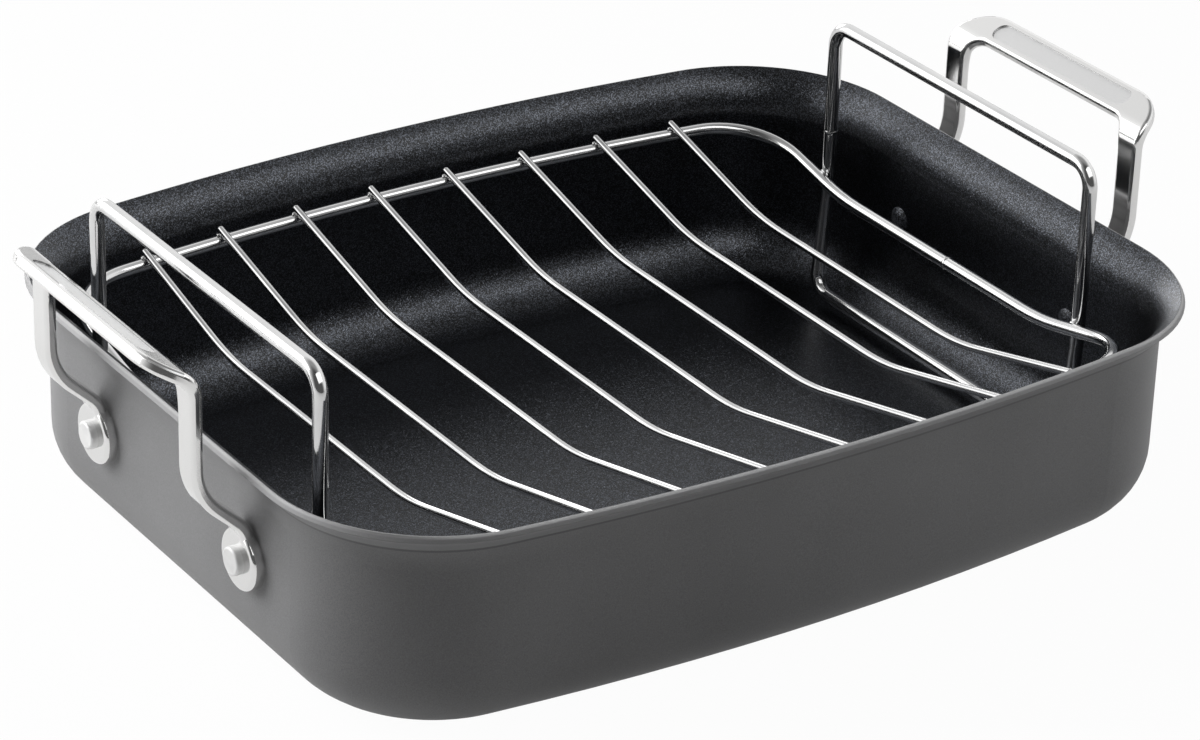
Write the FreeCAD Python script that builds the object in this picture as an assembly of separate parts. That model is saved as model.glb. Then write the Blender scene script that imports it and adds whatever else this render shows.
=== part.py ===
import FreeCAD, Part
import math
import os

os.makedirs("parts", exist_ok=True)

# Roasting pan with a lift-out rack. Millimetres, +Z up.
# X runs along the long side from handle to handle, Y across, and the front of the pan is at -Y.
# The origin is the middle of the pan's underside.

# Pan: a deep drawn dish with bowed long sides, straight short ends and a lip that flares outwards
pan_length = 406.0
pan_width = 330.0
pan_height = 92.0
wall = 3.0
rim_corner_radius = 69.5
side_bow_radius = 1190.0
base_fillet = 27.0
lip_flare_radius = 19.0
lip_flare_angle = 58.0
lip_edge_rounding = 0.5

# Rivets: two for each handle, with a tall flat head outside and a low dome inside the pan
rivet_drop = 43.8
rivet_spacing = 114.5
rivet_shank = 6.0
rivet_head = 11.4
rivet_head_height = 3.0
rivet_head_rounding = 1.0
rivet_dome = 11.0
rivet_dome_height = 2.2

# Handles: a strap bent outwards into two legs and a tilted grip, with a round foot on each leg
strap_thickness = 5.0
leg_width = 11.3
leg_stand_off = 20.7
foot_diameter = 25.0
ramp_angle = 43.0
ramp_rise = 23.4
ramp_foot_bend = 14.0
ramp_leg_bend = 26.0
grip_edge_rise = 83.0
grip_edge_reach = 24.8
grip_width = 15.2
grip_tilt = 27.0
grip_bend = 10.0
grip_outer_corner = 19.5
grip_inner_corner = 9.5
strap_edge_rounding = 1.7
recess_length = 87.0
recess_width = 9.1
recess_margin = 3.2
recess_depth = 0.7
recess_corner_share = 0.48

# Rack: a wire frame with a dipped middle, cross wires on it and a tall hoop outside each end
rack_shift = -3.5
frame_wire = 5.4
cross_wire = 3.3
hoop_wire = 6.0
weld_sink = 0.4
rail_gap = 7.8
rail_height = 69.5
frame_corner_radius = 34.0
cradle_depth = 13.5
cradle_flat_width = 136.0
cradle_bend = 110.0
cross_wire_count = 8
cross_wire_end_gap = 42.4
cross_wire_overrun = 3.0
cross_wire_tip_rounding = 1.3
hoop_gap = 11.7
hoop_leg_gap = 15.0
hoop_height = 129.5
hoop_corner = 9.5
hoop_knee_drop = 4.0
hoop_knee_bend = 20.0
hoop_foot_corner = 9.0
hoop_foot_inset = 3.4
floor_clearance = 0.3

# One overrun serves all cuts
overrun = 2.0

V = FreeCAD.Vector
UP = V(0, 0, 1)
ACROSS = V(0, 1, 0)
OUT = V(1, 0, 0)
CENTRE = V(0, 0, 0)
HALF_TURN = 180.0

# Pan places that other pieces follow
lip_lean = math.radians(lip_flare_angle)
lip_inner_radius = lip_flare_radius + wall
lip_edge_outer = lip_flare_radius + lip_edge_rounding
lip_edge_inner = lip_inner_radius - lip_edge_rounding
lip_outer_lean = lip_lean - math.asin(lip_edge_rounding / lip_edge_outer)
lip_inner_lean = lip_lean - math.asin(lip_edge_rounding / lip_edge_inner)
lip_centre_reach = lip_edge_outer * math.cos(lip_outer_lean) - lip_edge_rounding
lip_overhang = lip_flare_radius - lip_centre_reach
rim_x = pan_length / 2
rim_y = pan_width / 2
wall_x = rim_x - lip_overhang
lip_x = rim_x + lip_centre_reach
lip_z = pan_height - lip_edge_inner * math.sin(lip_inner_lean) - lip_edge_rounding
side_centre_y = rim_y - side_bow_radius
corner_x = rim_x - rim_corner_radius
corner_y = side_centre_y + math.sqrt((side_bow_radius - rim_corner_radius) ** 2 - corner_x**2)
side_half_angle = math.degrees(math.asin(corner_x / (side_bow_radius - rim_corner_radius)))
corner_angle = HALF_TURN / 2 - side_half_angle
rivet_y = rivet_spacing / 2
rivet_z = pan_height - rivet_drop


def on_side(x, z):
    """A point of a side view, in the plane of the pan's long axis."""
    return V(x, 0, z)


def polar(centre, radius, degrees):
    """A point at an angle round a centre in plan."""
    angle = math.radians(degrees)
    return centre + V(radius * math.cos(angle), radius * math.sin(angle), 0)


def line(start, end):
    return Part.LineSegment(start, end).toShape()


def arc(start, through, end):
    return Part.Arc(start, through, end).toShape()


def face(edges):
    return Part.Face(Part.Wire(edges))


def join(pieces):
    """Pieces that share whole faces, made into one solid."""
    return pieces[0].multiFuse(pieces[1:]).removeSplitter()


def bend(before, corner, after, radius):
    """The start, end, centre, axis and turn of a round bend at a corner."""
    heading = (corner - before).normalize()
    leaving = (after - corner).normalize()
    turn = heading.getAngle(leaving)
    setback = radius * math.tan(turn / 2)
    axis = heading.cross(leaving).normalize()
    start = corner - heading * setback
    centre = start + axis.cross(heading) * radius
    return start, corner + leaving * setback, centre, axis, math.degrees(turn)


def rounded_face(corners, radii):
    """A flat face with its corners rounded; a radius of 0 leaves a corner sharp."""
    count = len(corners)
    bends = []
    for i, radius in enumerate(radii):
        bends.append(bend(corners[i - 1], corners[i], corners[(i + 1) % count], radius))
    edges = []
    for i, radius in enumerate(radii):
        start, end, centre, axis, turn = bends[i]
        if radius > 0:
            outward = (corners[i] - centre).normalize()
            edges.append(arc(start, centre + outward * radius, end))
        edges.append(line(end, bends[(i + 1) % count][0]))
    return face(edges)


def follow(section, corners, radii):
    """Carry a section from the first corner to the last, straight between round bends."""
    pieces = []
    here = corners[0]
    for i, radius in enumerate(radii):
        start, end, centre, axis, turn = bend(corners[i], corners[i + 1], corners[i + 2], radius)
        pieces.append(section.extrude(start - here))
        section = section.translated(start - here)
        pieces.append(section.revolve(centre, axis, turn))
        section = section.rotated(centre, axis, turn)
        here = end
    pieces.append(section.extrude(corners[-1] - here))
    return join(pieces)


def rod(diameter, corners, radii):
    """A bent round wire."""
    circle = Part.makeCircle(diameter / 2, corners[0], corners[1] - corners[0])
    return follow(face([circle]), corners, radii)


def turned(shape):
    """The same piece at the other end of the pan."""
    return shape.rotated(CENTRE, UP, HALF_TURN)


# Pan


def wall_section():
    """Base fillet, upright wall and flared lip with a flat edge, cut at the end of the pan."""
    base_x = wall_x - base_fillet
    slant = math.sqrt(base_fillet**2 / 2)
    inner_slant = math.sqrt((base_fillet - wall) ** 2 / 2)

    def on_lip(radius, lean):
        return on_side(lip_x - radius * math.cos(lean), lip_z + radius * math.sin(lean))

    def eased(start, centre, end):
        outward = ((start - centre) + (end - centre)).normalize()
        return arc(start, centre + outward * lip_edge_rounding, end)

    edge_low = on_lip(math.sqrt(lip_edge_outer**2 - lip_edge_rounding**2), lip_lean)
    edge_high = on_lip(math.sqrt(lip_edge_inner**2 - lip_edge_rounding**2), lip_lean)
    under_end = on_lip(lip_flare_radius, lip_outer_lean)
    upper_end = on_lip(lip_inner_radius, lip_inner_lean)
    edges = [
        arc(
            on_side(base_x, 0),
            on_side(base_x + slant, base_fillet - slant),
            on_side(wall_x, base_fillet),
        ),
        line(on_side(wall_x, base_fillet), on_side(wall_x, lip_z)),
        arc(on_side(wall_x, lip_z), on_lip(lip_flare_radius, lip_outer_lean / 2), under_end),
        eased(under_end, on_lip(lip_edge_outer, lip_outer_lean), edge_low),
        line(edge_low, edge_high),
        eased(edge_high, on_lip(lip_edge_inner, lip_inner_lean), upper_end),
        arc(upper_end, on_lip(lip_inner_radius, lip_inner_lean / 2), on_side(wall_x - wall, lip_z)),
        line(on_side(wall_x - wall, lip_z), on_side(wall_x - wall, base_fillet)),
        arc(
            on_side(wall_x - wall, base_fillet),
            on_side(base_x + inner_slant, base_fillet - inner_slant),
            on_side(base_x, wall),
        ),
        line(on_side(base_x, wall), on_side(base_x, 0)),
    ]
    return face(edges)


# The pan's plan from the end of the right wall to the start of the left one, as arcs in turn
plan_arcs = [
    (V(corner_x, corner_y, 0), rim_corner_radius, corner_angle),
    (V(0, side_centre_y, 0), side_bow_radius, 2 * side_half_angle),
    (V(-corner_x, corner_y, 0), rim_corner_radius, corner_angle),
]


def half_ring(section):
    """The right wall and the bowed back wall with its two corners."""
    end_wall = section.translated(V(0, -corner_y, 0)).extrude(V(0, 2 * corner_y, 0))
    pieces = [end_wall]
    section = section.translated(V(0, corner_y, 0))
    for centre, radius, sweep in plan_arcs:
        pieces.append(section.revolve(centre, UP, sweep))
        section = section.rotated(centre, UP, sweep)
    return pieces


def floor_plate():
    """The flat floor inside the ring of base fillets."""
    inset = lip_overhang + base_fillet
    x = rim_x - inset
    edges = [line(V(x, -corner_y, 0), V(x, corner_y, 0))]
    angle = 0
    for centre, radius, sweep in plan_arcs:
        reach = radius - inset
        middle = polar(centre, reach, angle + sweep / 2)
        edges.append(arc(polar(centre, reach, angle), middle, polar(centre, reach, angle + sweep)))
        angle += sweep
    edges += [turned(edge) for edge in edges]
    return face(edges).extrude(UP * wall)


def rivet_places():
    """Rivet names with the end they belong to and their place across the pan."""
    places = []
    for end in ("right", "left"):
        for side, y in (("front", -rivet_y), ("back", rivet_y)):
            places.append((f"rivet_{end}_{side}", end, y if end == "right" else -y))
    return places


def placed(shape, end):
    return shape if end == "right" else turned(shape)


def shank_hole(y):
    """What a rivet's shank takes out of the wall and the handle's foot."""
    length = wall + strap_thickness + 2 * overrun
    return Part.makeCylinder(rivet_shank / 2, length, V(wall_x - wall - overrun, y, rivet_z), OUT)


def pan_body():
    half = half_ring(wall_section())
    shell = join(half + [turned(piece) for piece in half] + [floor_plate()])
    for name, end, y in rivet_places():
        shell = shell.cut(placed(shank_hole(y), end))
    return shell


# Rivets


def rivet(y):
    """A turned rivet through the right wall: dome inside, shank, rounded flat head outside."""
    inner_x = wall_x - wall
    seat_x = wall_x + strap_thickness
    head_x = seat_x + rivet_head_height
    dome_radius = rivet_dome / 2
    dome_x = inner_x - rivet_dome_height
    sphere = (dome_radius**2 + rivet_dome_height**2) / (2 * rivet_dome_height)
    half_lean = math.asin(dome_radius / sphere) / 2
    shank_radius = rivet_shank / 2
    head_radius = rivet_head / 2
    corner = on_side(head_x - rivet_head_rounding, head_radius - rivet_head_rounding)
    slant = math.sqrt(rivet_head_rounding**2 / 2)
    edges = [
        arc(
            on_side(dome_x, 0),
            on_side(dome_x + sphere * (1 - math.cos(half_lean)), sphere * math.sin(half_lean)),
            on_side(inner_x, dome_radius),
        ),
        line(on_side(inner_x, dome_radius), on_side(inner_x, shank_radius)),
        line(on_side(inner_x, shank_radius), on_side(seat_x, shank_radius)),
        line(on_side(seat_x, shank_radius), on_side(seat_x, head_radius)),
        line(on_side(seat_x, head_radius), on_side(corner.x, head_radius)),
        arc(on_side(corner.x, head_radius), corner + on_side(slant, slant), on_side(head_x, corner.z)),
        line(on_side(head_x, corner.z), on_side(head_x, 0)),
        line(on_side(head_x, 0), on_side(dome_x, 0)),
    ]
    return face(edges).revolve(CENTRE, OUT, 2 * HALF_TURN).translated(V(0, y, rivet_z))


# Handles

tilt = math.radians(grip_tilt)
grip_along = V(math.cos(tilt), 0, math.sin(tilt))
grip_normal = V(-math.sin(tilt), 0, math.cos(tilt))
grip_edge = on_side(wall_x + grip_edge_reach, rivet_z + grip_edge_rise)


def on_grip(y, out):
    """A point on the grip's upper face, out from its inner edge."""
    return grip_edge + ACROSS * y + grip_along * out


def bent_strap(width):
    """The strap's side view, carried across the whole handle."""
    foot_x = wall_x + strap_thickness / 2
    leg_x = foot_x + leg_stand_off
    half_ramp = leg_stand_off * math.tan(math.radians(ramp_angle)) / 2
    ramp_z = rivet_z + ramp_rise
    grip_mid = grip_edge - grip_normal * (strap_thickness / 2)
    corners = [
        on_side(foot_x, rivet_z),
        on_side(foot_x, ramp_z - half_ramp),
        on_side(leg_x, ramp_z + half_ramp),
        on_side(leg_x, grip_mid.z - (grip_mid.x - leg_x) * math.tan(tilt)),
        grip_mid + grip_along * (grip_width + overrun),
    ]
    start = V(wall_x, -width / 2, rivet_z)
    section = Part.makePlane(strap_thickness, width, start, UP, OUT)
    return follow(section, corners, [ramp_foot_bend, ramp_leg_bend, grip_bend])


def grip_outline():
    """The U of two legs and a grip, seen square to the grip's face and cut right through."""
    outer_y = (rivet_spacing + leg_width) / 2
    inner_y = (rivet_spacing - leg_width) / 2
    reach = grip_edge_rise + leg_stand_off + foot_diameter
    corners = [
        on_grip(-outer_y, -reach),
        on_grip(-outer_y, grip_width),
        on_grip(outer_y, grip_width),
        on_grip(outer_y, -reach),
        on_grip(inner_y, -reach),
        on_grip(inner_y, 0),
        on_grip(-inner_y, 0),
        on_grip(-inner_y, -reach),
    ]
    radii = [0, grip_outer_corner, grip_outer_corner, 0, 0, grip_inner_corner, grip_inner_corner, 0]
    plate = rounded_face(corners, radii)
    return plate.translated(grip_normal * -reach).extrude(grip_normal * 2 * reach)


def grip_recess():
    """The shallow oval recess in the grip's upper face."""
    half = recess_length / 2
    inner = recess_margin
    outer = recess_margin + recess_width
    corners = [on_grip(-half, inner), on_grip(-half, outer), on_grip(half, outer), on_grip(half, inner)]
    outline = rounded_face(corners, [recess_width * recess_corner_share] * len(corners))
    depth = recess_depth + overrun
    return outline.translated(grip_normal * -recess_depth).extrude(grip_normal * depth)


def foot(y):
    """The round foot of one leg, with its outer edge eased."""
    disc = Part.makeCylinder(foot_diameter / 2, strap_thickness, V(wall_x, y, rivet_z), OUT)
    outer_edges = [edge for edge in disc.Edges if edge.BoundBox.XMin > wall_x + strap_thickness / 2]
    return disc.makeFillet(strap_edge_rounding, outer_edges)


def handle():
    """The right handle, riveted to the end wall."""
    strap = bent_strap(rivet_spacing + leg_width).common(grip_outline()).Solids[0]
    strap = strap.makeFillet(strap_edge_rounding, strap.Edges)
    body = join([strap, foot(-rivet_y), foot(rivet_y)])
    body = body.cut(grip_recess())
    for y in (-rivet_y, rivet_y):
        body = body.cut(shank_hole(y))
    return body


# Rack

rail_inset = lip_overhang + wall + rail_gap + frame_wire / 2
rail_radius = side_bow_radius - rail_inset
rail_z = wall + rail_height
cradle_z = rail_z - cradle_depth
cradle_y = cradle_flat_width / 2
hoop_x = wall_x - wall - hoop_gap - hoop_wire / 2
end_x = hoop_x - (frame_wire + hoop_wire) / 2 + weld_sink
rail_end_x = end_x - frame_corner_radius
rail_lean = math.asin(rail_end_x / rail_radius)
frame_corner_y = (
    side_centre_y + rail_radius * math.cos(rail_lean) - frame_corner_radius * math.tan(rail_lean)
)
corner_setback = frame_corner_radius * math.tan((math.pi / 2 - rail_lean) / 2)
hoop_y = frame_corner_y - corner_setback - hoop_leg_gap
cross_wire_pitch = 2 * (end_x - cross_wire_end_gap) / (cross_wire_count - 1)


def rack_frame():
    """One closed loop: bowed rails, round corners, and end rails that dip like the cross wires."""
    rail_peak_y = side_centre_y + rail_radius / math.cos(rail_lean)
    corners = [
        V(end_x, 0, cradle_z),
        V(end_x, -cradle_y, cradle_z),
        V(end_x, -frame_corner_y, rail_z),
        V(0, -rail_peak_y, rail_z),
        V(-end_x, -frame_corner_y, rail_z),
        V(-end_x, -cradle_y, cradle_z),
        V(-end_x, cradle_y, cradle_z),
        V(-end_x, frame_corner_y, rail_z),
        V(0, rail_peak_y, rail_z),
        V(end_x, frame_corner_y, rail_z),
        V(end_x, cradle_y, cradle_z),
        V(end_x, 0, cradle_z),
    ]
    rising = [cradle_bend, frame_corner_radius]
    falling = [frame_corner_radius, cradle_bend]
    half_loop = rising + [rail_radius] + falling
    return rod(frame_wire, corners, half_loop + half_loop)


def rack_cross_wire(x):
    """A cross wire laid on both rails and saddled to them, with its rounded tips just past them."""
    rail_reach = math.sqrt(rail_radius**2 - x**2)
    rail_y = side_centre_y + rail_reach
    seat_z = rail_z + (frame_wire + cross_wire) / 2 - weld_sink
    slope = (seat_z - cradle_z) / (rail_y - cradle_y)
    tip_y = rail_y + cross_wire_overrun
    tip_z = seat_z + cross_wire_overrun * slope
    corners = [
        V(x, tip_y, tip_z),
        V(x, cradle_y, cradle_z),
        V(x, -cradle_y, cradle_z),
        V(x, -tip_y, tip_z),
    ]
    wire = rod(cross_wire, corners, [cradle_bend, cradle_bend])
    tips = [edge for edge in wire.Edges if abs(edge.CenterOfMass.y) > tip_y - cross_wire_tip_rounding]
    wire = wire.makeFillet(cross_wire_tip_rounding, tips)
    for y, along in ((rail_y, V(rail_reach, -x, 0)), (-rail_y, V(rail_reach, x, 0))):
        along.normalize()
        start = V(x, y, rail_z) - along * frame_wire
        wire = wire.cut(Part.makeCylinder(frame_wire / 2, 2 * frame_wire, start, along))
    return wire


def rack_hoop():
    """The right hoop: a lifting handle above the frame and a foot bar on the pan's floor."""
    foot_x = hoop_x - hoop_foot_inset
    floor_end = wall_x - base_fillet
    up_the_fillet = max(foot_x + abs(rack_shift) - floor_end, 0)
    foot_reach = base_fillet - wall - hoop_wire / 2 - floor_clearance
    foot_z = base_fillet - math.sqrt(foot_reach**2 - up_the_fillet**2)
    top_z = wall + hoop_height
    knee_z = cradle_z - hoop_knee_drop
    corners = [
        V(hoop_x, 0, top_z),
        V(hoop_x, -hoop_y, top_z),
        V(hoop_x, -hoop_y, knee_z),
        V(foot_x, -hoop_y, foot_z),
        V(foot_x, hoop_y, foot_z),
        V(hoop_x, hoop_y, knee_z),
        V(hoop_x, hoop_y, top_z),
        V(hoop_x, 0, top_z),
    ]
    falling = [hoop_corner, hoop_knee_bend, hoop_foot_corner]
    return rod(hoop_wire, corners, falling + falling[::-1])


# Build

nodes = {"pan_body": pan_body()}
right_handle = handle()
nodes["handle_right"] = right_handle
nodes["handle_left"] = turned(right_handle)
for name, end, y in rivet_places():
    nodes[name] = placed(rivet(y), end)

frame = rack_frame()
rack = {"rack_frame": frame}
for i in range(cross_wire_count):
    x = (i - (cross_wire_count - 1) / 2) * cross_wire_pitch
    rack[f"rack_cross_wire_{i + 1}"] = rack_cross_wire(x)
right_hoop = rack_hoop()
rack["rack_hoop_right"] = right_hoop.cut(frame)
rack["rack_hoop_left"] = turned(right_hoop).cut(frame)
for name, shape in rack.items():
    nodes[name] = shape.translated(V(rack_shift, 0, 0))

for name, shape in nodes.items():
    box = shape.optimalBoundingBox()
    size = [round(length, 1) for length in (box.XLength, box.YLength, box.ZLength)]
    print(name, len(shape.Solids), "solid", "valid" if shape.isValid() else "broken", size)
    shape.exportStep(f"parts/{name}.step")
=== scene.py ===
# %% [markdown]
# # A roasting pan with a lift-out rack
# This lesson dresses a roasting pan: a drawn pan of dark anodised aluminium with a black non-stick
# inside, two bent steel handles on rivets, and a rack of bright welded wire that lifts out.
# The solids come from a drawing, in metres, and each one already sits where it belongs. They could be
# modelled again here, but their shapes are exact, so Blender gives them their finishes and adds what
# the drawing leaves out: the small beads of metal that welding leaves on the rack.

# %% Load the measured pan
import math

import bmesh
import bpy
from mathutils import Matrix, Vector, noise


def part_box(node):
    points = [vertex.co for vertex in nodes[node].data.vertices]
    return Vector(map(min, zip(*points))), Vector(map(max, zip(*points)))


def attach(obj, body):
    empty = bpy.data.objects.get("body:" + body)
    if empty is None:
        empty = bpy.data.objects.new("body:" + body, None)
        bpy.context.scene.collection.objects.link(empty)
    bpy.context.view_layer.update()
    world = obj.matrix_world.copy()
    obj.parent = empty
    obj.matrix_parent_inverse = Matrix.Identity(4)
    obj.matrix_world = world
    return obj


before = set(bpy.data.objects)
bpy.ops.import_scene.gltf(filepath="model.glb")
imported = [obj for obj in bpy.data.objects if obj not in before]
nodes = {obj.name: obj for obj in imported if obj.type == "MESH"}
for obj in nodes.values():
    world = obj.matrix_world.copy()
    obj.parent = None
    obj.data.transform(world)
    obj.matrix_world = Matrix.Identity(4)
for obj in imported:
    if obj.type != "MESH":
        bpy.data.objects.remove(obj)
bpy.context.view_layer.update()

# %% [markdown]
# ## Helpers for shader nodes
# Every finish here is a handful of shader nodes. Placing them by hand in the editor is pleasant, but in
# a script each node takes several lines, so one helper makes a node, sets it and wires it in one go.
# A second helper starts a material: a Principled shader on its output, plus the Object coordinates that
# every pattern reads. Object coordinates are metres on this pan, so a pattern's scale can be worked out
# from a real grain size. The others are short names for what comes up again and again: a sum, a change
# of range, and a blend of two values or two colours.

# %% Node helpers
def place(tree, kind, sockets=None, **settings):
    made = tree.nodes.new("ShaderNode" + kind)
    for name, value in settings.items():
        setattr(made, name, value)
    for name, value in (sockets or {}).items():
        if isinstance(value, bpy.types.NodeSocket):
            tree.links.new(value, made.inputs[name])
        else:
            made.inputs[name].default_value = value
    return made


def start_finish(name, **constants):
    finish = bpy.data.materials.new(name)
    finish.use_nodes = True
    tree = finish.node_tree
    tree.nodes.clear()
    shader = place(tree, "BsdfPrincipled", {k.replace("_", " "): v for k, v in constants.items()})
    place(tree, "OutputMaterial", {"Surface": shader.outputs["BSDF"]})
    where = place(tree, "TexCoord").outputs["Object"]
    return finish, tree, shader, where


def connect(tree, shader, **values):
    for name, value in values.items():
        tree.links.new(value, shader.inputs[name.replace("_", " ")])


print("helpers ready:", place.__name__, start_finish.__name__, connect.__name__)

# %% Short names for sums, ranges and blends
def math_node(tree, operation, *values, clamp=False):
    sockets = dict(enumerate(values))
    return place(tree, "Math", sockets, operation=operation, use_clamp=clamp).outputs[0]


def vector_node(tree, operation, *vectors):
    return place(tree, "VectorMath", dict(enumerate(vectors)), operation=operation).outputs


def map_range(tree, value, start, stop, low=0.0, high=1.0, **settings):
    sockets = {"Value": value, "From Min": start, "From Max": stop, "To Min": low, "To Max": high}
    return place(tree, "MapRange", sockets, **settings).outputs["Result"]


def between(tree, share, low, high):
    return map_range(tree, share, 0.0, 1.0, low, high)


def blend_values(tree, amount, first, second):
    sockets = {"Factor": amount, 2: first, 3: second}
    return place(tree, "Mix", sockets, data_type="FLOAT").outputs[0]


def blend_colours(tree, amount, first, second):
    sockets = {"Factor": amount, 6: first, 7: second}
    return place(tree, "Mix", sockets, data_type="RGBA").outputs[2]


print("short names ready:", map_range.__name__, blend_values.__name__, blend_colours.__name__)

# %% [markdown]
# ## Grain that several finishes share
# Anodised aluminium, polished steel, rivets and wire all have a grain of about a millimetre or finer,
# over slow changes of tone that are centimetres wide. One node group gives both, and each finish places
# it with its own grain size. A group keeps the recipe in one spot: a better grain here is a better grain
# on every piece.
# The group puts out two values from 0 to 1. The shaders stay in the materials, where the export can read
# them.

# %% Group helpers
def start_group(name, inputs, outputs):
    group = bpy.data.node_groups.new(name, "ShaderNodeTree")
    for in_out, sockets in (("INPUT", inputs), ("OUTPUT", outputs)):
        for label, kind in sockets:
            group.interface.new_socket(name=label, in_out=in_out, socket_type="NodeSocket" + kind)
    entry = group.nodes.new("NodeGroupInput")
    leave = group.nodes.new("NodeGroupOutput")
    return group, entry.outputs, leave.inputs


def use_group(tree, group, **values):
    sockets = {name.replace("_", " "): value for name, value in values.items()}
    return place(tree, "Group", sockets, node_tree=group).outputs


def outputs_of(group):
    return [socket.name for socket in group.interface.items_tree if socket.in_out == "OUTPUT"]


print("group helpers ready:", start_group.__name__, use_group.__name__)

# %% A group for grain and slow drift of tone
NOISE_LOW, NOISE_HIGH = 0.3, 0.7

grain_group, given, result = start_group(
    "fine_grain",
    [("Vector", "Vector"), ("Grains per metre", "Float"), ("Drifts per metre", "Float")],
    [("Grain", "Float"), ("Drift", "Float")])
fine = place(grain_group, "TexNoise", {"Vector": given["Vector"], "Scale": given["Grains per metre"],
                                       "Detail": 3.0, "Roughness": 0.6})
slow = place(grain_group, "TexNoise", {"Vector": given["Vector"], "Scale": given["Drifts per metre"],
                                       "Detail": 2.0})
for source, label in ((fine, "Grain"), (slow, "Drift")):
    spread = map_range(grain_group, source.outputs["Fac"], NOISE_LOW, NOISE_HIGH)
    grain_group.links.new(spread, result[label])
print("group", grain_group.name, "gives", outputs_of(grain_group))

# %% [markdown]
# ## The non-stick coat
# The coat inside the pan is black with a faint bluish sparkle: mica flakes smaller than half a
# millimetre lie in it at all angles, and it dries with a slight orange-peel texture. Flakes could be
# scattered as geometry, but there would be millions of them. A Voronoi texture is a field of cells with
# a random colour each, so a cell's red says how much of a flake it is, from none to a bright one, and
# white noise on the cell's place tilts each flake its own way.
# A tilted flake lights up only near a highlight, as real mica does. The rivets' inner heads wear the
# same coat, so it is a group.

# %% A group for the sparkle in the coat
coat_group, given, result = start_group(
    "coat_sparkle",
    [("Vector", "Vector"), ("Normal", "Vector"), ("Flakes per metre", "Float"),
     ("Share of flakes", "Float"), ("Tilt", "Float")],
    [("Flake", "Float"), ("Peel", "Float"), ("Normal", "Vector")])
flake_field = {"Vector": given["Vector"], "Scale": given["Flakes per metre"]}
cells = place(coat_group, "TexVoronoi", flake_field).outputs
red = place(coat_group, "SeparateColor", {"Color": cells["Color"]}).outputs["Red"]
least = math_node(coat_group, "SUBTRACT", 1.0, given["Share of flakes"])
flake = map_range(coat_group, red, least, 1.0)
coat_group.links.new(flake, result["Flake"])
peel = place(coat_group, "TexNoise", {**flake_field, "Detail": 2.0})
coat_group.links.new(peel.outputs["Fac"], result["Peel"])
print("group", coat_group.name, "gives", outputs_of(coat_group))

# %% The tilt of each flake
NO_LEAN = (0.5, 0.5, 0.5)

another = place(coat_group, "TexWhiteNoise", {"Vector": cells["Position"]}).outputs["Color"]
lean = vector_node(coat_group, "SUBTRACT", another, NO_LEAN)["Vector"]
amount = math_node(coat_group, "MULTIPLY", flake, given["Tilt"])
lean = place(coat_group, "VectorMath", {0: lean, "Scale": amount}, operation="SCALE").outputs["Vector"]
leaning = vector_node(coat_group, "ADD", given["Normal"], lean)["Vector"]
tilted = vector_node(coat_group, "NORMALIZE", leaning)["Vector"]
coat_group.links.new(tilted, result["Normal"])
print("group", coat_group.name, "has", len(coat_group.nodes), "nodes")

# %% [markdown]
# ## The pan: anodised outside, coated inside
# The pan is one piece of metal with two finishes. It could be cut into two objects, but then the
# drawing's solid would have to be replaced. Instead one material asks which way the surface faces: where
# its normal points away from a spot in the middle of the pan it is the outside, and where it points
# towards that spot it is the inside.
# The two meet at the lip, where the edge is worn to bare metal. Below it the flare and a band under the
# edge are painted a little paler than the wall, a painted reflection of the white floor, and a painted
# shade line darkens the crease where the flare begins.

# %% Pan finish, which side is which
PAN_MIDDLE = (0, 0, 0.05)
SIDE_BLEND = 0.004
FLAKES_PER_METRE, SHARE_OF_FLAKES, FLAKE_TILT = 3000.0, 0.6, 0.30


def spray_coat(tree, where, normal, covered):
    tilt = math_node(tree, "MULTIPLY", covered, FLAKE_TILT)
    return use_group(tree, coat_group, Vector=where, Normal=normal, Flakes_per_metre=FLAKES_PER_METRE,
                     Share_of_flakes=SHARE_OF_FLAKES, Tilt=tilt)


pan_finish, tree, shader, where = start_finish("anodised_and_coated", Specular_IOR_Level=0.43)
normal = place(tree, "NewGeometry").outputs["Normal"]
from_middle = vector_node(tree, "SUBTRACT", where, PAN_MIDDLE)["Vector"]
facing = vector_node(tree, "DOT_PRODUCT", normal, from_middle)["Value"]
inside = map_range(tree, facing, SIDE_BLEND, -SIDE_BLEND)
metal = use_group(tree, grain_group, Vector=where, Grains_per_metre=2200.0, Drifts_per_metre=14.0)
coat = spray_coat(tree, where, normal, inside)
print("coat flakes are about", round(1000 / FLAKES_PER_METRE, 2), "mm wide")

# %% Pan finish, worn edge, painted sheen and painted crease shade by height
LIP_TOP, CREASE_HEIGHT = 0.092, 0.0832
WORN_FROM, WORN_FULLY = LIP_TOP - 0.0011, LIP_TOP - 0.0006
PAINTED_SHEEN_FROM, PAINTED_SHEEN_FULLY = LIP_TOP - 0.0036, LIP_TOP - 0.0022
FLARE_FADE, CREASE_HALF = 0.0010, 0.0006
FLARE_SHEEN_SHARE, PAINTED_SHEEN_SHARE, CREASE_SHADE_SHARE = 0.35, 0.55, 0.7

height = place(tree, "SeparateXYZ", {"Vector": where}).outputs["Z"]
at_edge = map_range(tree, height, WORN_FROM, WORN_FULLY)
# The flare and the band under the edge are painted paler than the wall, a painted reflection of the white
# floor.
flare_sheen = map_range(tree, height, CREASE_HEIGHT, CREASE_HEIGHT + FLARE_FADE, high=FLARE_SHEEN_SHARE)
sheen_under_edge = map_range(tree, height, PAINTED_SHEEN_FROM, PAINTED_SHEEN_FULLY, high=PAINTED_SHEEN_SHARE)
painted_sheen = math_node(tree, "MAXIMUM", flare_sheen, sheen_under_edge)
# A painted shade line darkens the crease where the flare begins.
crease_shade_band = math_node(tree, "COMPARE", height, CREASE_HEIGHT, CREASE_HALF)
painted_crease_shade = math_node(tree, "MULTIPLY", crease_shade_band, CREASE_SHADE_SHARE)
print("lip edge is worn above", round(WORN_FROM, 4), "m")

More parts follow.
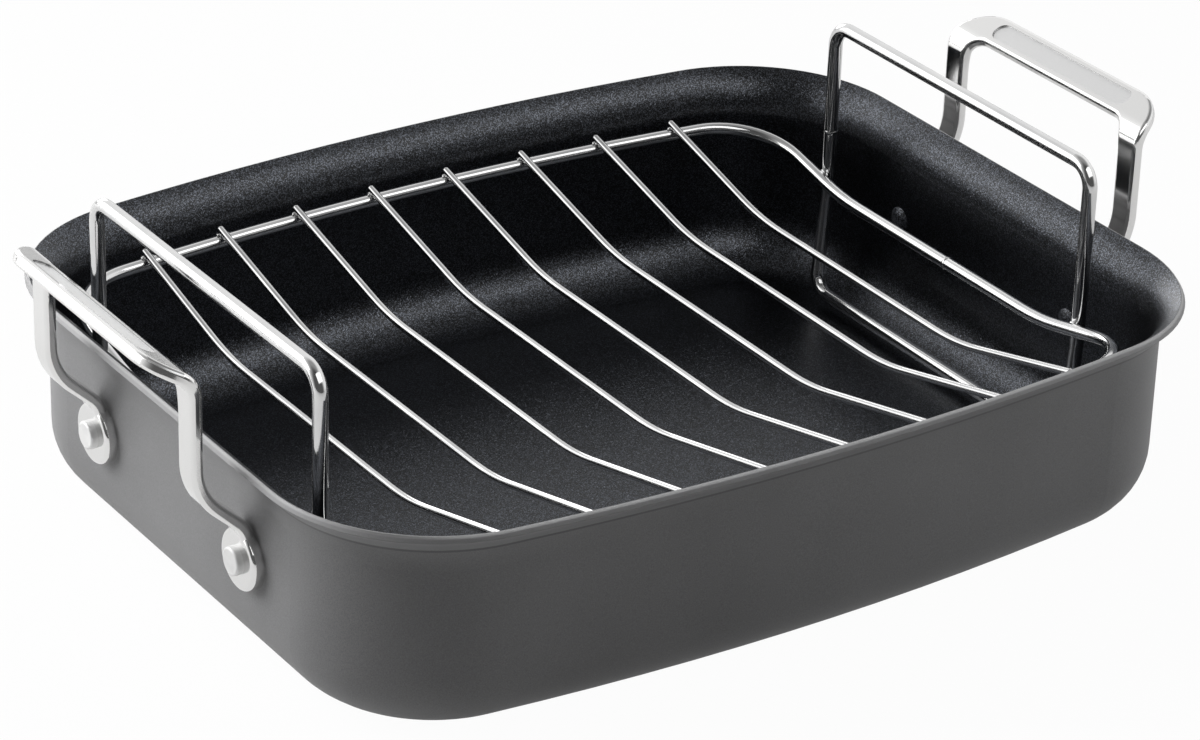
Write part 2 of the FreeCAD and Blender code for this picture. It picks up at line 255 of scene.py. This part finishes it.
# %% Pan finish, colours
ANODISED = (0.100, 0.100, 0.102, 1)
ANODISED_PALE = (0.200, 0.200, 0.203, 1)
# Painted reflection of the white floor on the flare:
PAINTED_LIP_SHEEN = (0.31, 0.31, 0.314, 1)
# Painted shade in the crease under the flare:
PAINTED_CREASE_SHADE = (0.055, 0.055, 0.056, 1)
RIM_EDGE = (0.38, 0.38, 0.384, 1)
COAT = (0.0015, 0.0015, 0.0017, 1)
FLAKE = (0.175, 0.187, 0.213, 1)
GRAIN_SHARE = 0.70

grainy = blend_values(tree, GRAIN_SHARE, metal["Drift"], metal["Grain"])
outside_colour = blend_colours(tree, grainy, ANODISED, ANODISED_PALE)
# The loop lays on the painted sheen, the painted crease shade and the worn edge.
for share, colour in ((painted_sheen, PAINTED_LIP_SHEEN), (painted_crease_shade, PAINTED_CREASE_SHADE), (at_edge, RIM_EDGE)):
    outside_colour = blend_colours(tree, share, outside_colour, colour)
inside_colour = blend_colours(tree, coat["Flake"], COAT, FLAKE)
connect(tree, shader, Base_Color=blend_colours(tree, inside, outside_colour, inside_colour))
print("wall, lip and coat are coloured by", len(tree.nodes), "nodes")

# %% Pan finish, gloss and skin
ANODISED_ROUGH, COAT_ROUGH = (0.42, 0.54), (0.32, 0.30)
WALL_METALLIC, EDGE_METALLIC = 0.02, 0.9
FLAKE_GAIN = 6.0

outside_rough = between(tree, metal["Grain"], *ANODISED_ROUGH)
inside_rough = between(tree, coat["Flake"], *COAT_ROUGH)
outside_shine = between(tree, at_edge, WALL_METALLIC, EDGE_METALLIC)
flake_shine = math_node(tree, "MULTIPLY", coat["Flake"], FLAKE_GAIN, clamp=True)
rough_skin = blend_values(tree, inside, metal["Grain"], coat["Peel"])
skin = place(tree, "Bump", {"Strength": 0.2, "Distance": 0.0001, "Height": rough_skin,
                            "Normal": coat["Normal"]})
connect(tree, shader, Roughness=blend_values(tree, inside, outside_rough, inside_rough),
        Metallic=blend_values(tree, inside, outside_shine, flake_shine), Normal=skin.outputs["Normal"])
nodes["pan_body"].material_slots[0].material = pan_finish
print("pan_body wears", pan_finish.name)

# %% [markdown]
# ## The handles: polished strap, satin recess
# Each handle is a strip of stainless steel, bent and then polished on a wheel until it mirrors the room.
# The shallow recess on top of the grip is pressed in after polishing and stays satin, and a painted shade
# line darkens its low wall.
# A second object could cover the recess, but its place is known exactly, so the material finds it:
# measured square to the sloping grip, the recess is the only surface that lies just below the grip's top
# face. The two handles mirror each other, so with absolute coordinates one search serves both.

# %% Handle finish, where the recess lies
GRIP_EDGE = (0.21905, 0.0, 0.1312)
GRIP_SLOPE = math.radians(27)
RECESS_DEPTH, RECESS_MIDDLE, RECESS_HALF = 0.0007, 0.00775, 0.0052
RECESS_SPAN, WALL_SPAN = 0.9 * RECESS_DEPTH, 0.37 * RECESS_DEPTH

handle_finish, tree, shader, where = start_finish("polished_steel", Metallic=1.0)
either_end = vector_node(tree, "ABSOLUTE", where)["Vector"]
from_edge = vector_node(tree, "SUBTRACT", either_end, GRIP_EDGE)["Vector"]
square = (-math.sin(GRIP_SLOPE), 0, math.cos(GRIP_SLOPE))
along = (math.cos(GRIP_SLOPE), 0, math.sin(GRIP_SLOPE))
depth = vector_node(tree, "DOT_PRODUCT", from_edge, square)["Value"]
reach = vector_node(tree, "DOT_PRODUCT", from_edge, along)["Value"]
across = math_node(tree, "COMPARE", reach, RECESS_MIDDLE, RECESS_HALF)
below_top = math_node(tree, "COMPARE", depth, -RECESS_DEPTH, RECESS_SPAN)
recess = math_node(tree, "MULTIPLY", below_top, across)
# The recess's low wall gets a painted shade line.
part_way = math_node(tree, "COMPARE", depth, -RECESS_DEPTH / 2, WALL_SPAN)
painted_wall_shade = math_node(tree, "MULTIPLY", part_way, across)
print("recess looked for", RECESS_DEPTH * 1000, "mm below the grip's top face")

# %% Handle finish, colours and brushing
STEEL = (0.84, 0.837, 0.83, 1)
STEEL_SATIN = (0.81, 0.81, 0.81, 1)
# Painted shade on the recess's low wall:
PAINTED_RECESS_SHADE = (0.36, 0.36, 0.36, 1)
POLISHED_ROUGH, SATIN_ROUGH = (0.08, 0.14), (0.30, 0.44)
BRUSHED_LENGTHWISE = (1.0, 0.04, 1.0)

buffed = use_group(tree, grain_group, Vector=where, Grains_per_metre=900.0, Drifts_per_metre=30.0)
lengthwise = place(tree, "Mapping", {"Vector": where, "Scale": BRUSHED_LENGTHWISE}).outputs["Vector"]
brushed = use_group(tree, grain_group, Vector=lengthwise, Grains_per_metre=4200.0,
                    Drifts_per_metre=30.0)
polish = between(tree, buffed["Drift"], *POLISHED_ROUGH)
satin = between(tree, brushed["Grain"], *SATIN_ROUGH)
steel = blend_colours(tree, recess, STEEL, STEEL_SATIN)
scratch = blend_values(tree, recess, buffed["Grain"], brushed["Grain"])
skin = place(tree, "Bump", {"Strength": 0.03, "Distance": 0.00005, "Height": scratch})
connect(tree, shader, Base_Color=blend_colours(tree, painted_wall_shade, steel, PAINTED_RECESS_SHADE),
        Roughness=blend_values(tree, recess, polish, satin), Normal=skin.outputs["Normal"])
for side in ("left", "right"):
    nodes["handle_" + side].material_slots[0].material = handle_finish
print("both handles wear", handle_finish.name)

# %% [markdown]
# ## The rivets: satin outside, coated inside
# The rivets are soft aluminium. Their outer heads stay bare and satin, and their inner heads were coated
# together with the pan. A rivet lies across the wall, so its distance from the middle of the pan tells
# which head a spot is on.

# %% Rivet finish
ALUMINIUM = (0.80, 0.80, 0.795, 1)
ALUMINIUM_DULL = (0.68, 0.68, 0.68, 1)
COAT_STOPS_AT = 0.1925
BARE_ROUGH, COVERED_ROUGH = (0.46, 0.58), 0.36
BARE_METALLIC = 0.7

rivet_finish, tree, shader, where = start_finish("satin_aluminium", Specular_IOR_Level=0.32)
grain = use_group(tree, grain_group, Vector=where, Grains_per_metre=3000.0, Drifts_per_metre=120.0)
distance = math_node(tree, "ABSOLUTE", place(tree, "SeparateXYZ", {"Vector": where}).outputs["X"])
coated = math_node(tree, "LESS_THAN", distance, COAT_STOPS_AT)
coat = spray_coat(tree, where, place(tree, "NewGeometry").outputs["Normal"], coated)
bare = blend_colours(tree, grain["Drift"], ALUMINIUM, ALUMINIUM_DULL)
covered = blend_colours(tree, coat["Flake"], COAT, FLAKE)
bare_rough = between(tree, grain["Grain"], *BARE_ROUGH)
skin = place(tree, "Bump", {"Strength": 0.12, "Distance": 0.0001, "Height": grain["Grain"],
                            "Normal": coat["Normal"]})
connect(tree, shader, Base_Color=blend_colours(tree, coated, bare, covered),
        Roughness=blend_values(tree, coated, bare_rough, COVERED_ROUGH),
        Metallic=blend_values(tree, coated, BARE_METALLIC, coat["Flake"]), Normal=skin.outputs["Normal"])
rivets = [solid for name, solid in nodes.items() if name.startswith("rivet_")]
for rivet in rivets:
    rivet.material_slots[0].material = rivet_finish
print(len(rivets), "rivets wear", rivet_finish.name)

# %% [markdown]
# ## The rack's wire
# The rack is steel wire, bent, spot welded and then plated bright. Drawn wire has faint lines along it,
# and plating pools slightly, so its gloss wanders. The lines would need a direction for every bend, and
# at this size they read only as a change of gloss, so a slow drift in the roughness and a fine grain in
# the skin stand for both.
# The frame and the hoops are of thicker wire with the same plating, and their finish is painted paler
# than the cross wires' to stand in for the brighter light they catch. One function makes both finishes.

# %% Wire finish
WIRE_ROUGH = (0.06, 0.14)
THIN_PALE, THIN_GREY = (0.66, 0.66, 0.655, 1), (0.50, 0.50, 0.505, 1)
# The thick wire's colours are painted paler, standing in for the brighter light it catches:
THICK_PAINTED_PALE, THICK_PAINTED_GREY = (0.77, 0.77, 0.765, 1), (0.67, 0.67, 0.675, 1)


def plated(name, pale, grey):
    finish, tree, shader, where = start_finish(name, Metallic=1.0)
    grain = use_group(tree, grain_group, Vector=where, Grains_per_metre=1800.0, Drifts_per_metre=45.0)
    skin = place(tree, "Bump", {"Strength": 0.05, "Distance": 0.00005, "Height": grain["Grain"]})
    connect(tree, shader, Base_Color=blend_colours(tree, grain["Drift"], pale, grey),
            Roughness=between(tree, grain["Drift"], *WIRE_ROUGH), Normal=skin.outputs["Normal"])
    return finish


wire_finish = plated("bright_wire", THIN_PALE, THIN_GREY)
# A paler painted copy of the same plating for the frame and the hoops.
paler_painted_wire_finish = plated("wire_painted_paler", THICK_PAINTED_PALE, THICK_PAINTED_GREY)
wires = [name for name in nodes if name.startswith("rack_")]
for name in wires:
    nodes[name].material_slots[0].material = wire_finish if "cross" in name else paler_painted_wire_finish
print(len(wires), "pieces of wire wear", wire_finish.name, "or", paler_painted_wire_finish.name)

# %% [markdown]
# ## Weld beads on the rack
# Each cross wire is pressed into the frame's rails while current melts the contact, and a little metal
# squeezes out on both sides. Those beads catch the light in the photograph, and without them the wires
# would seem to float.
# A bead is an icosphere, roughened with smooth noise and flattened. The wire's own box says where it
# ends, and the rail runs a fixed overrun inside of that end, so every bead is placed from the solids.

# %% One bead
LUMP_HEIGHT, LUMPS_PER_RADIUS = 0.16, 1.7
NOISE_PER_METRE = 900.0


def add_bead(mesh, middle, half_sizes):
    made = bmesh.ops.create_icosphere(mesh, subdivisions=3, radius=1.0)["verts"]
    own_noise = Vector(middle) * NOISE_PER_METRE
    for vert in made:
        vert.co *= 1.0 + LUMP_HEIGHT * noise.noise(vert.co * LUMPS_PER_RADIUS + own_noise)
    bmesh.ops.scale(mesh, verts=made, vec=half_sizes)
    bmesh.ops.translate(mesh, verts=made, vec=middle)


print("bead ready, with lumps of", LUMP_HEIGHT, "of its radius")

# %% From a mesh to a piece that rides on the rack
def add_object(mesh, name, material):
    data = bpy.data.meshes.new(name)
    mesh.to_mesh(data)
    mesh.free()
    data.materials.append(material)
    made = bpy.data.objects.new(name, data)
    bpy.context.scene.collection.objects.link(made)
    return made


def finish_piece(mesh, name, material, body, slot):
    bmesh.ops.recalc_face_normals(mesh, faces=mesh.faces)
    for face in mesh.faces:
        face.smooth = True
    piece = add_object(mesh, name, material)
    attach(piece, body)
    print(name, "has", len(piece.data.polygons), "faces and rides on", body)


print("piece helpers ready:", add_object.__name__, finish_piece.__name__)

# %% Beads where the cross wires meet the rails
CROSS_WIRES = 8
WIRE_OVERRUN = 0.003
BEAD_HEIGHT = 0.0754
CROSS_BEAD = (0.0031, 0.0020, 0.0011)

mesh = bmesh.new()
for number in range(1, CROSS_WIRES + 1):
    lowest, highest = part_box(f"rack_cross_wire_{number}")
    across = (lowest.x + highest.x) / 2
    for end in (lowest.y + WIRE_OVERRUN, highest.y - WIRE_OVERRUN):
        add_bead(mesh, (across, end, BEAD_HEIGHT), CROSS_BEAD)
finish_piece(mesh, "rack_cross_welds", wire_finish, "rack", "rack_wire")

# %% [markdown]
# ## Beads where the hoops meet the frame
# The hoops stand against the outside of the frame's end rails, and a short bead on each leg holds them
# there. A hoop's leg is the outermost part of its box in Y, and the frame's end rail touches it on the
# side of the pan's middle, so the bead goes between the two.

# %% Hoop beads
HOOP_WIRE = 0.006
CROSSING_HEIGHT = 0.0628
HOOP_BEAD, BEAD_SUNK = (0.0013, 0.0030, 0.0026), 0.0002

mesh = bmesh.new()
for side, outward in (("left", -1), ("right", 1)):
    lowest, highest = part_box("rack_hoop_" + side)
    frame_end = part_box("rack_frame")[0 if outward < 0 else 1].x
    for leg in (lowest.y + HOOP_WIRE / 2, highest.y - HOOP_WIRE / 2):
        add_bead(mesh, (frame_end - outward * BEAD_SUNK, leg, CROSSING_HEIGHT), HOOP_BEAD)
finish_piece(mesh, "rack_hoop_welds", wire_finish, "rack", "rack_wire")

# %% [markdown]
# ## Butt welds in the wire
# A closed frame or hoop starts as one length of wire, and its two ends are pressed together and welded.
# Grinding leaves a low ring round the wire. The ring is a few profile points, spun all the way round the
# wire's middle line. Its two ends dip below the wire's skin, so no gap shows.

# %% One butt weld ring
RING_SWELL, RING_HALF, RING_DIP = 0.0002, 0.0012, 0.0002
SHOULDER_AT, SHOULDER_RISE = 0.45 * RING_HALF, 0.75 * RING_SWELL
RING_STEPS = 40


def add_ring(mesh, middle, direction, wire_radius):
    outline = [(-RING_HALF, -RING_DIP), (-SHOULDER_AT, SHOULDER_RISE), (0, RING_SWELL),
               (SHOULDER_AT, SHOULDER_RISE), (RING_HALF, -RING_DIP)]
    verts = [mesh.verts.new((wire_radius + rise, 0, along)) for along, rise in outline]
    edges = [mesh.edges.new(pair) for pair in zip(verts, verts[1:])]
    bmesh.ops.spin(mesh, geom=verts + edges, axis=(0, 0, 1), cent=(0, 0, 0), angle=math.tau,
                   steps=RING_STEPS, use_merge=True)
    ring = [vert for vert in mesh.verts if not vert.tag]
    stand = Vector((0, 0, 1)).rotation_difference(Vector(direction)).to_matrix()
    bmesh.ops.rotate(mesh, verts=ring, matrix=stand)
    bmesh.ops.translate(mesh, verts=ring, vec=middle)
    for vert in ring:
        vert.tag = True


print("ring ready,", 2000 * RING_HALF, "mm long")

# %% Three butt welds, on an end rail, a hoop's leg and a foot bar
FRAME_WIRE = 0.0054
END_RAIL_HEIGHT, END_WELD_Y = 0.059, -0.006
LEG_WELD_HEIGHT, FOOT_WELD_Y = 0.0830, 0.005
ALONG_Y, UPRIGHT = (0, 1, 0), (0, 0, 1)
frame_radius, hoop_radius = FRAME_WIRE / 2, HOOP_WIRE / 2

mesh = bmesh.new()
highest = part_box("rack_frame")[1]
add_ring(mesh, (highest.x - frame_radius, END_WELD_Y, END_RAIL_HEIGHT), ALONG_Y, frame_radius)
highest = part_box("rack_hoop_right")[1]
add_ring(mesh, (highest.x - hoop_radius, highest.y - hoop_radius, LEG_WELD_HEIGHT), UPRIGHT, hoop_radius)
lowest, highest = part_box("rack_hoop_left")
add_ring(mesh, (highest.x - hoop_radius, FOOT_WELD_Y, lowest.z + hoop_radius), ALONG_Y, hoop_radius)
finish_piece(mesh, "rack_butt_welds", wire_finish, "rack", "rack_wire")

# %% [markdown]
# ## Camera
# The camera stands where the photograph was taken from: to the left of the front, looking down by about
# 27 degrees, with a long lens that keeps the pan's sides nearly parallel. The three directions are worked
# out from those angles, because a matrix of right, up and back is exactly what Blender's camera needs.

# %% Camera
TURN, TILT, ROLL = (math.radians(angle) for angle in (-34.284, 27.023, 1.797))
STANDS_AT = Vector((-0.8735, -1.2791, 0.8397))
SENSOR_MM, LENS_MM = 36.0, 130.553
FARTHEST_SEEN = 50.0

back = Vector((math.sin(TURN) * math.cos(TILT), -math.cos(TURN) * math.cos(TILT), math.sin(TILT)))
level = Vector((math.cos(TURN), math.sin(TURN), 0))
upward = back.cross(level)
right = level * math.cos(ROLL) + upward * math.sin(ROLL)
above = upward * math.cos(ROLL) - level * math.sin(ROLL)
looking = Matrix((right, above, back)).transposed().to_4x4()
lens = bpy.data.cameras.new("photo_camera")
lens.sensor_fit = "HORIZONTAL"
lens.sensor_width = SENSOR_MM
lens.lens = LENS_MM
lens.clip_end = FARTHEST_SEEN
camera = bpy.data.objects.new("photo_camera", lens)
camera.matrix_world = Matrix.Translation(STANDS_AT) @ looking
bpy.context.scene.collection.objects.link(camera)
bpy.context.scene.camera = camera
print("camera stands", round(STANDS_AT.length, 3), "m from the pan's base with a", LENS_MM, "mm lens")

# %% [markdown]
# ## Floor and room
# The pan stands on a white sweep. A floor that is only lit never renders as pure white, and more light
# would bleach the pan, so the floor's material also glows, nearly fully for the camera and about half
# for reflections, as Light Path tells it. The rest of it is plain matt white, which keeps the soft
# shadow under the pan.
# The room works the same way: white to the camera, dim as a source of light, and for mirror-like metal a
# white room that darkens towards the ceiling and the side where the photographer stands. Without those
# dark sides polished steel has nothing to show but white, and it would look like chalk.

# %% Floor finish
WHITE = (1, 1, 1, 1)
MATT_WHITE = (0.68, 0.68, 0.68, 1)
SEEN_GLOW, MIRRORED_GLOW = 0.97, 0.45


def ray_kinds(tree):
    ray = place(tree, "LightPath").outputs
    mirrored = math_node(tree, "MAXIMUM", ray["Is Glossy Ray"], ray["Is Transmission Ray"])
    return ray["Is Camera Ray"], mirrored


sweep = bpy.data.materials.new("white_sweep")
sweep.use_nodes = True
tree = sweep.node_tree
tree.nodes.clear()
matt = place(tree, "BsdfDiffuse", {"Color": MATT_WHITE}).outputs[0]
glow = place(tree, "Emission", {"Color": WHITE, "Strength": 1.0}).outputs[0]
seen, mirrored = ray_kinds(tree)
share = math_node(tree, "MAXIMUM", math_node(tree, "MULTIPLY", seen, SEEN_GLOW),
                  math_node(tree, "MULTIPLY", mirrored, MIRRORED_GLOW))
mixed = place(tree, "MixShader", {"Fac": share, 1: matt, 2: glow}).outputs[0]
place(tree, "OutputMaterial", {"Surface": mixed})
print(sweep.name, "glows by", SEEN_GLOW, "to the camera and by", MIRRORED_GLOW, "in reflections")

# %% Floor
FLOOR_HALF, FLOOR_GAP = 4.0, 0.0006

mesh = bmesh.new()
bmesh.ops.create_grid(mesh, x_segments=8, y_segments=8, size=FLOOR_HALF)
bmesh.ops.translate(mesh, verts=mesh.verts, vec=(0, 0, -FLOOR_GAP))
floor = add_object(mesh, "white_sweep", sweep)
print("floor lies", round(1000 * FLOOR_GAP, 2), "mm under the pan")

# %% Room
DARK_SIDE = tuple(Vector((-0.45, -0.85, 0.25)).normalized())
DARK_FROM, DARK_FULLY, DARK_LEVEL = 0.1, 0.75, 0.10
CEILING_FROM, CEILING_FULLY, CEILING_LEVEL = 0.66, 0.92, 0.35
ROOM_LIGHT = 0.04

room = bpy.data.worlds.new("white_room")
bpy.context.scene.world = room
room.use_nodes = True
tree = room.node_tree
tree.nodes.clear()
direction = place(tree, "TexCoord").outputs["Generated"]
towards = vector_node(tree, "DOT_PRODUCT", direction, DARK_SIDE)["Value"]
side_shade = map_range(tree, towards, DARK_FROM, DARK_FULLY, 1.0, DARK_LEVEL,
                       interpolation_type="SMOOTHSTEP")
upward_share = place(tree, "SeparateXYZ", {"Vector": direction}).outputs["Z"]
ceiling_shade = map_range(tree, upward_share, CEILING_FROM, CEILING_FULLY, 1.0, CEILING_LEVEL)
shade = math_node(tree, "MULTIPLY", side_shade, ceiling_shade)
as_light, as_mirrored, as_seen = (
    place(tree, "Background", {"Color": WHITE, "Strength": strength}).outputs[0]
    for strength in (ROOM_LIGHT, shade, 1.0))
seen, mirrored = ray_kinds(tree)
unseen = place(tree, "MixShader", {"Fac": mirrored, 1: as_light, 2: as_mirrored}).outputs[0]
chosen = place(tree, "MixShader", {"Fac": seen, 1: unseen, 2: as_seen}).outputs[0]
place(tree, "OutputWorld", {"Surface": chosen})
print("room", room.name, "is white to the camera and darkens towards", [round(v, 2) for v in DARK_SIDE])

# %% [markdown]
# ## Lamps
# Anodised metal takes its brightness from the lamps, while polished wire mirrors the lamps themselves. A
# lamp that is bright enough for the first burns out in the second, so each job has lamps of its own: an
# object's visible_diffuse and visible_glossy say which kind of surface sees it.
# Two soft boxes light the matt metal, a strong one on the left at the back for the near end of the pan
# and a weak one on the right for its front. Three large, dim reflectors give the coat and the wire their
# broad highlights.

# %% Lamps
NEAR_END, MIDDLE, FAR_HALF = (-0.2, 0, 0.05), (0.1, 0, 0.05), (0.15, 0, 0.1)


def hang_lamp(name, at, aim, size, watts, matt=True, gloss=True):
    lamp = bpy.data.lights.new(name, "AREA")
    lamp.shape = "RECTANGLE"
    lamp.size, lamp.size_y = size
    lamp.energy = watts
    stand = bpy.data.objects.new(name, lamp)
    turned = (Vector(aim) - Vector(at)).to_track_quat("-Z", "Y").to_matrix().to_4x4()
    stand.matrix_world = Matrix.Translation(at) @ turned
    stand.visible_camera = False
    stand.visible_diffuse = matt
    stand.visible_glossy = gloss
    bpy.context.scene.collection.objects.link(stand)
    print("lamp", name, watts, "W at", at)


hang_lamp("left_softbox", (-1.00, 0.86, 0.72), NEAR_END, size=(1.1, 1.4), watts=39.0, gloss=False)
hang_lamp("right_softbox", (1.30, -0.75, 0.60), MIDDLE, size=(0.8, 0.8), watts=10.5, gloss=False)
hang_lamp("front_reflector", (0.20, -1.05, 1.25), MIDDLE, size=(1.9, 0.9), watts=7.8, matt=False)
hang_lamp("left_reflector", (-1.00, 0.85, 0.62), NEAR_END, size=(1.5, 1.2), watts=5.8, matt=False)
hang_lamp("back_reflector", (0.55, 3.65, 0.80), FAR_HALF, size=(2.1, 1.5), watts=26.0, matt=False)

# %% [markdown]
# ## Colours as written
# The last cell keeps the colours as they are written.

# %% Colours as written
bpy.context.scene.view_settings.view_transform = "Standard"
